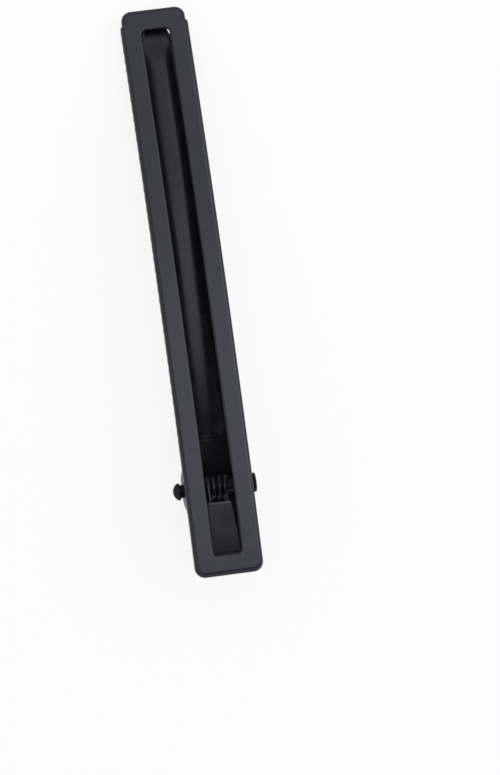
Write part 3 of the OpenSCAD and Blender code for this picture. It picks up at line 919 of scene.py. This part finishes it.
def arm_row(stop, skin):
    """Points from a wall's top to the middle of the floor, on the outer (0) or inner skin."""
    s, w, heading, fold, base, top = stop
    r = math.radians(heading)
    inward = np.array([math.cos(r), -math.sin(r)])
    plan = np.array([s, w])
    rise = np.array(top) - np.array(base)
    soft = min(ARM_EDGE, 0.8 * np.linalg.norm(rise))
    rise = rise / np.linalg.norm(rise)
    row = []

    def wall(point, inset, lower):
        """Adds a point of the wall, set inwards and down along it."""
        q = plan + inward * inset
        at = np.array(point) - rise * lower
        row.append((q[0] + at[0] - s, q[1], -at[1]))

    for c in span(0, math.pi / 2, EDGE_STEPS):
        inset = soft * (1 - math.sin(c))
        wall(top, skin - inset if skin else inset, soft * (1 - math.cos(c)))
    wall(base, skin, 0)
    for c in span(0, 90, FOLD_STEPS):
        a = math.radians(c)
        q = plan + inward * (fold - (fold - skin) * math.cos(a))
        row.append((q[0], q[1], -(fold - (fold - skin) * math.sin(a))))
    inner = plan + inward * fold
    for k in range(1, FLOOR_STEPS + 1):
        y = inner[1] * (1 - k / FLOOR_STEPS)
        row.append((inner[0], y, -(skin + groove(inner[0], y))))
    return row


half_row = len(arm_row(arm_rim[0], 0))
print("points from a wall's top to the middle of the floor:", half_row)


# %% Arm shell
def arm_shell():
    """Both skins, the rounded edge between them and the closing faces at nose and thumb end."""
    points, faces = [], []
    for skin in (0, SHEET):
        for stop in arm_rim:
            row = arm_row(stop, skin)
            points += row + [(x, -y, z) for x, y, z in row[-2::-1]]
    width, rows = 2 * half_row - 1, len(arm_rim)
    layer = rows * width
    last_fold = half_row - FLOOR_STEPS - 2
    for base in (0, layer):
        for k in range(rows - 1):
            for j in range(width - 1):
                p = base + k * width + j
                quad = (p, p + 1, p + width + 1, p + width)
                faces.append(quad if base else quad[::-1])
        for k in (0, rows - 1):
            p = base + k * width
            m = p + width - 1
            turned = bool(base) != (k == 0)
            closing = [(p + j, p + j + 1, m - j - 1, m - j) for j in range(last_fold)]
            closing.append(tuple(range(p + last_fold, m - last_fold + 1)))
            faces += [f if turned else f[::-1] for f in closing]
    for k in range(rows - 1):
        for j in (0, width - 1):
            p = k * width + j
            quad = (p, p + width, p + width + layer, p + layer)
            faces.append(quad if j else quad[::-1])
    for k in (0, rows - 1):
        p = k * width
        m = p + width - 1
        quad = (p, m, m + layer, p + layer)
        faces.append(quad if k else quad[::-1])
    return points, faces


blank = mesh_object("arm_blank", *arm_shell())
print("arm blank:", len(blank.data.polygons), "faces")

# %% Arm
arm_path = path_object("bow_of_the_arm", [
    in_the_middle(arm_at(s, 0)) for s in np.arange(0, arm_run + PATH_SPARE, PATH_STEP)])
# the arm's coat carries painted shade: darker and less reflective than the frame's
use_tree(blank, lay_tree, Path=arm_path, Start=0.0, Finish=arm_coat_painted_shade)
arm = settle(blank, "curved_arm_steel")
outward(arm)
arm = drill(arm, ARM_HOLE, ARM_HALF + 1)
smooth(arm)

# %% [markdown]
# ## The spring
# The spring is one piece of round wire wound nearly four times round the rivet. One leg
# leaves the coil along its tangent and bears on the tongue, and the other bears on the arm's
# floor. A wire follows a path, so its node tree sweeps a circle along a polyline and closes the
# two ends, which are cut square.

# %% Node tree: wire along a path
wire_tree, given = new_tree(
    "wire_along_path",
    ("Thickness", "NodeSocketFloat", 0.001),
    ("Sides", "NodeSocketInt", 20),
    ("Finish", "NodeSocketMaterial", None),
)
radius = add_node(wire_tree, "ShaderNodeMath", {"operation": "DIVIDE"},
                  {0: given["Thickness"], 1: 2.0})
circle = add_node(wire_tree, "GeometryNodeCurvePrimitiveCircle", {"mode": "RADIUS"},
                  {"Resolution": given["Sides"], "Radius": radius})
swept = add_node(wire_tree, "GeometryNodeCurveToMesh", inputs={
    "Curve": given["Geometry"], "Profile Curve": circle, "Fill Caps": True})
end_tree(wire_tree, swept, given["Finish"])

# %% Spring
WIRE, COIL, COIL_PITCH, TURNS = 0.86, 2.05, 1.15, 3    # coil radius is to the wire's middle
LEG_GAP = 0.06                         # the legs clear the steel by this at their ends
TONGUE_LEAN = math.radians(4.6)        # slope of the tongue's underside where the leg bears
LEG_END, LEG_ON_ARM = -11.5, 12        # where they end: by station, and behind the rivet
leg_rise = np.array([0, WIRE / 2 / math.cos(TONGUE_LEAN) + LEG_GAP])
leg_a = on_bow(LEG_END, tongue_face(LEG_END) + SHEET) - leg_rise
leg_b = arm_at(arm_run - THUMB_PLATE + LEG_ON_ARM, SHEET + WIRE / 2 + LEG_GAP)
turn_in = math.atan2(leg_a[1], leg_a[0]) - math.acos(COIL / np.linalg.norm(leg_a))
turn_out = math.atan2(leg_b[1], leg_b[0]) + math.acos(COIL / np.linalg.norm(leg_b))
sweep = turn_in - turn_out + 2 * math.pi * TURNS
coil_half = COIL_PITCH * sweep / (4 * math.pi)


def spring_line():
    """Points of the wire's centre, in mm about the rivet."""
    def on_coil(t):
        """A point of the coil, from 0 at one leg to 1 at the other."""
        a = turn_in - sweep * t
        return np.array([COIL * math.cos(a), coil_half * (1 - 2 * t), COIL * math.sin(a)])

    start = np.array([leg_a[0], coil_half, leg_a[1]])
    stop = np.array([leg_b[0], -coil_half, leg_b[1]])
    leg_in = [start + (on_coil(0) - start) * k for k in span(0, 1, 12)[:-1]]
    leg_out = [on_coil(1) + (stop - on_coil(1)) * k for k in span(0, 1, 12)[1:]]
    return leg_in + [on_coil(t) for t in span(0, 1, 264)] + leg_out


wire = path_object("spring_wire_path", [placed(*p) for p in spring_line()])
use_tree(wire, wire_tree, Thickness=WIRE * MM, Sides=20, Finish=wire_finish)
spring = settle(wire, "torsion_spring_wire")
outward(spring)
smooth(spring)

# %% [markdown]
# ## The rivet
# A tubular rivet has a domed head at one end, and at the other its hollow shank is rolled outwards
# over the ear. Both ends are turned shapes, so a profile is spun about the hinge's axis. The small
# radii under the head and round the rolled lip are part of the profile.

# %% Rivet
# radii of the shank, its bore, the head, the rolled lip about the axis and the lip's own roll
SHANK, BORE, BROAD, ROLLED, LIP = 1.3, 1.05, 1.7, 1.62, 0.33
# places along the axis: the hollow end, on the minus side, and the head's underside, rim and top
END, HEAD, RIM, TOP = 7.8, 7.4, 7.95, 8.8


def rivet_profile():
    """(radius, place along the axis), from inside the hollow end round the outside to the dome."""
    line = [(r, -END + up) for r, up in (
        (0.0, 2.9), (0.55, 2.75), (1.0, 2.45), (BORE, 2.2), (BORE, 0.32), (1.12, 0.12),
        (1.26, 0.02))]
    line += [(ROLLED + LIP * math.sin(t), -END + LIP - LIP * math.cos(t))
             for t in span(0, math.pi, 10)]
    line += [(1.42, -END + 2 * LIP), (1.32, -END + 0.74), (SHANK, -END + 0.84)]
    line += [(SHANK, -6.0), (SHANK, 6.0), (SHANK, HEAD - 0.12), (1.34, HEAD - 0.03), (1.44, HEAD)]
    line += [(BROAD - less, place) for less, place in (
        (0.12, HEAD), (0.03, HEAD + 0.03), (0, HEAD + 0.12), (0, RIM - 0.1), (0.03, RIM))]
    rise = TOP - RIM
    ball = ((BROAD - 0.06) ** 2 + rise ** 2) / (2 * rise)
    line += [(ball * math.sin(t), TOP - ball + ball * math.cos(t))
             for t in span(math.asin((BROAD - 0.1) / ball), 0, 14)]
    return line


def spun(name, profile, steps=64):
    """Spins a profile about the rivet's axis."""
    bm = bmesh.new()
    verts = [bm.verts.new(placed(r, y, 0)) for r, y in profile]
    edges = [bm.edges.new(pair) for pair in zip(verts, verts[1:])]
    bmesh.ops.spin(bm, geom=verts + edges, cent=pivot, axis=(0, 1, 0), angle=2 * math.pi,
                   steps=steps, use_merge=True)
    return object_from(bm, name)


rivet = spun("tubular_rivet_steel", rivet_profile())
rivet.data.materials.append(rivet_coat)
outward(rivet)
smooth(rivet)

# %% [markdown]
# ## Hanging the pieces on the bodies
# The frame and the rivet stay with the frame's body, and the arm turns with its own body. The
# spring is left unattached, where it lies at rest, and takes the place of the CAD spring.

# %% Ride and replace
for piece, body, node, slot in ((toothed, "frame", "toothed_frame", "jaw_steel"),
                                (arm, "arm", "curved_arm", "jaw_steel"),
                                (rivet, "frame", "rivet", "rivet_steel")):
    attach(piece, body)
    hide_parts(node)
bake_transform(spring)
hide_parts("torsion_spring")
for helper in (frame_path, arm_path):
    bpy.data.objects.remove(helper)
print("pieces:", ", ".join(o.name for o in (toothed, arm, spring, rivet)))

# %% [markdown]
# ## The table
# The clip lies on a pale table, which is white to reflections and keeps a faint shadow. The camera
# sees a white sheet of film rather than thick paper, because the open jaw swings down through the
# table's height and has to stay in sight.

# %% Table
TABLE_WHITE = 0.86        # how much of the table is plain white; the rest takes a shadow
GLOW = 0.5                # how bright it is to reflections
FIBRES = 0.9 * PER_MM     # paper fibre, a little over 1 mm
FAR = 1500                # half its width, in mm


def pale_table():
    """White paper with a faint fibre, clear to the camera and glowing to reflections."""
    mat, t = new_material("white_paper_table")
    rays = add_node(t, "ShaderNodeLightPath").outputs
    place = add_node(t, "ShaderNodeTexCoord").outputs["Object"]
    fibre = add_node(t, "ShaderNodeTexNoise", inputs={
        "Vector": place, "Scale": FIBRES, "Detail": 2.0})
    tone = add_node(t, "ShaderNodeMix", {"data_type": "RGBA"}, {
        0: fibre, 6: hex_colour("#e9e9ea"), 7: hex_colour("#efefef")}).outputs[2]
    paper = add_node(t, "ShaderNodeBsdfDiffuse", inputs={"Color": tone})
    glow = add_node(t, "ShaderNodeEmission", inputs={
        "Color": hex_colour("#ffffff"), "Strength": GLOW})
    clear = add_node(t, "ShaderNodeBsdfTransparent")
    white = add_node(t, "ShaderNodeMixShader", inputs={
        0: rays["Is Camera Ray"], 1: glow, 2: clear})
    seen = add_node(t, "ShaderNodeMath", {"operation": "MAXIMUM"},
                    {0: rays["Is Camera Ray"], 1: rays["Is Glossy Ray"]})
    share = add_node(t, "ShaderNodeMath", {"operation": "MULTIPLY"}, {0: seen, 1: TABLE_WHITE})
    mixed = add_node(t, "ShaderNodeMixShader", inputs={0: share, 1: paper, 2: white})
    add_node(t, "ShaderNodeOutputMaterial", inputs={"Surface": mixed})
    return mat


table = mesh_object("table", [(-FAR, -FAR, 0), (FAR, -FAR, 0), (FAR, FAR, 0), (-FAR, FAR, 0)],
                    [(0, 1, 2, 3)])
table.data.materials.append(pale_table())
print("table:", [round(v, 2) for v in table.dimensions], "m")

# %% [markdown]
# ## Light
# Two wide soft boxes hang over the clip, in a room with pale walls. The boxes give the flat plates
# their even sheen, the dark gap between boxes and walls makes the folds step down, and the walls
# light the edges that turn away. A near-black coat is lit by what it reflects, so the places of
# these three matter more than their power.

# %% Room
world = bpy.data.worlds.new("studio")
bpy.context.scene.world = world
world.use_nodes = True
sky = world.node_tree
sky.nodes.clear()
rays = add_node(sky, "ShaderNodeLightPath").outputs
toward = add_node(sky, "ShaderNodeTexCoord").outputs["Generated"]
height = add_node(sky, "ShaderNodeSeparateXYZ", inputs={0: toward}).outputs["Z"]
# the walls are bright up to about 45 degrees, and the ceiling is dark from about 60
walls = add_node(sky, "ShaderNodeMapRange", inputs={
    "Value": height, "From Min": 0.7, "From Max": 0.86, "To Min": 0.8, "To Max": 0.08})
level = add_node(sky, "ShaderNodeMix", {"data_type": "FLOAT"},
                 {0: rays["Is Camera Ray"], 2: walls, 3: 1.0})
back = add_node(sky, "ShaderNodeBackground", inputs={
    "Color": hex_colour("#ffffff"), "Strength": level})
add_node(sky, "ShaderNodeOutputWorld", inputs={"Surface": back})
print("room:", len(sky.nodes), "nodes")


# %% Soft boxes
def soft_box(name, place, wide, deep, level):
    """A flat light that faces straight down; level is the brightness of its face, 1 is white."""
    lamp = bpy.data.lights.new(name, "AREA")
    lamp.shape, lamp.size, lamp.size_y = "RECTANGLE", wide, deep
    lamp.energy = level * math.pi * wide * deep
    new_object(name, lamp).location = place
    print(f"{name}: {wide} by {deep} m, {lamp.energy:.1f} W")


soft_box("overhead_soft_box", place=(0.333, -1.025, 1.0), wide=1.134, deep=3.15, level=1.0)
soft_box("second_soft_box", place=(0.023, -1.025, 0.99), wide=0.51, deep=3.15, level=0.66)

# %% [markdown]
# ## Camera
# The camera looks almost straight down from a good distance, so that the clip shows its long
# windowed face nearly without perspective, standing tall with its tip up and leaning a little.

# %% Camera
WIDE, TALL, SCALE = 500, 775, 0.19833  # picture size, and millimetres to one of its dots
MIDDLE_AT = (191.1, 289.5)             # dots from the picture's left and top to the clip's middle
LEAN, SIDE_TILT = math.radians(7.35), math.radians(6.0)
DISTANCE, SENSOR = 0.9, 36.0

cam_data = bpy.data.cameras.new("camera")
cam = new_object("camera", cam_data)
bpy.context.scene.camera = cam
view = Vector((0, -math.sin(SIDE_TILT), -math.cos(SIDE_TILT)))
up = Vector((math.cos(LEAN), -math.sin(LEAN), 0))
up = (up - view * up.dot(view)).normalized()
right = view.cross(up)
middle = (in_the_middle(on_bow(TIP, 0)) + in_the_middle(on_bow(-THUMB, 0))) / 2
aim = (middle + right * ((WIDE / 2 - MIDDLE_AT[0]) * SCALE * MM)
       - up * ((TALL / 2 - MIDDLE_AT[1]) * SCALE * MM))
cam.location = aim - view * DISTANCE
cam.rotation_mode = "QUATERNION"
cam.rotation_quaternion = Matrix((right, up, -view)).transposed().to_quaternion()
cam_data.sensor_width = SENSOR
cam_data.lens = SENSOR * DISTANCE / (TALL * SCALE * MM)
cam_data.clip_start, cam_data.clip_end = 0.01, 10
bpy.context.scene.view_settings.view_transform = "Standard"
print(f"camera: {cam_data.lens:.0f} mm lens at {DISTANCE} m")
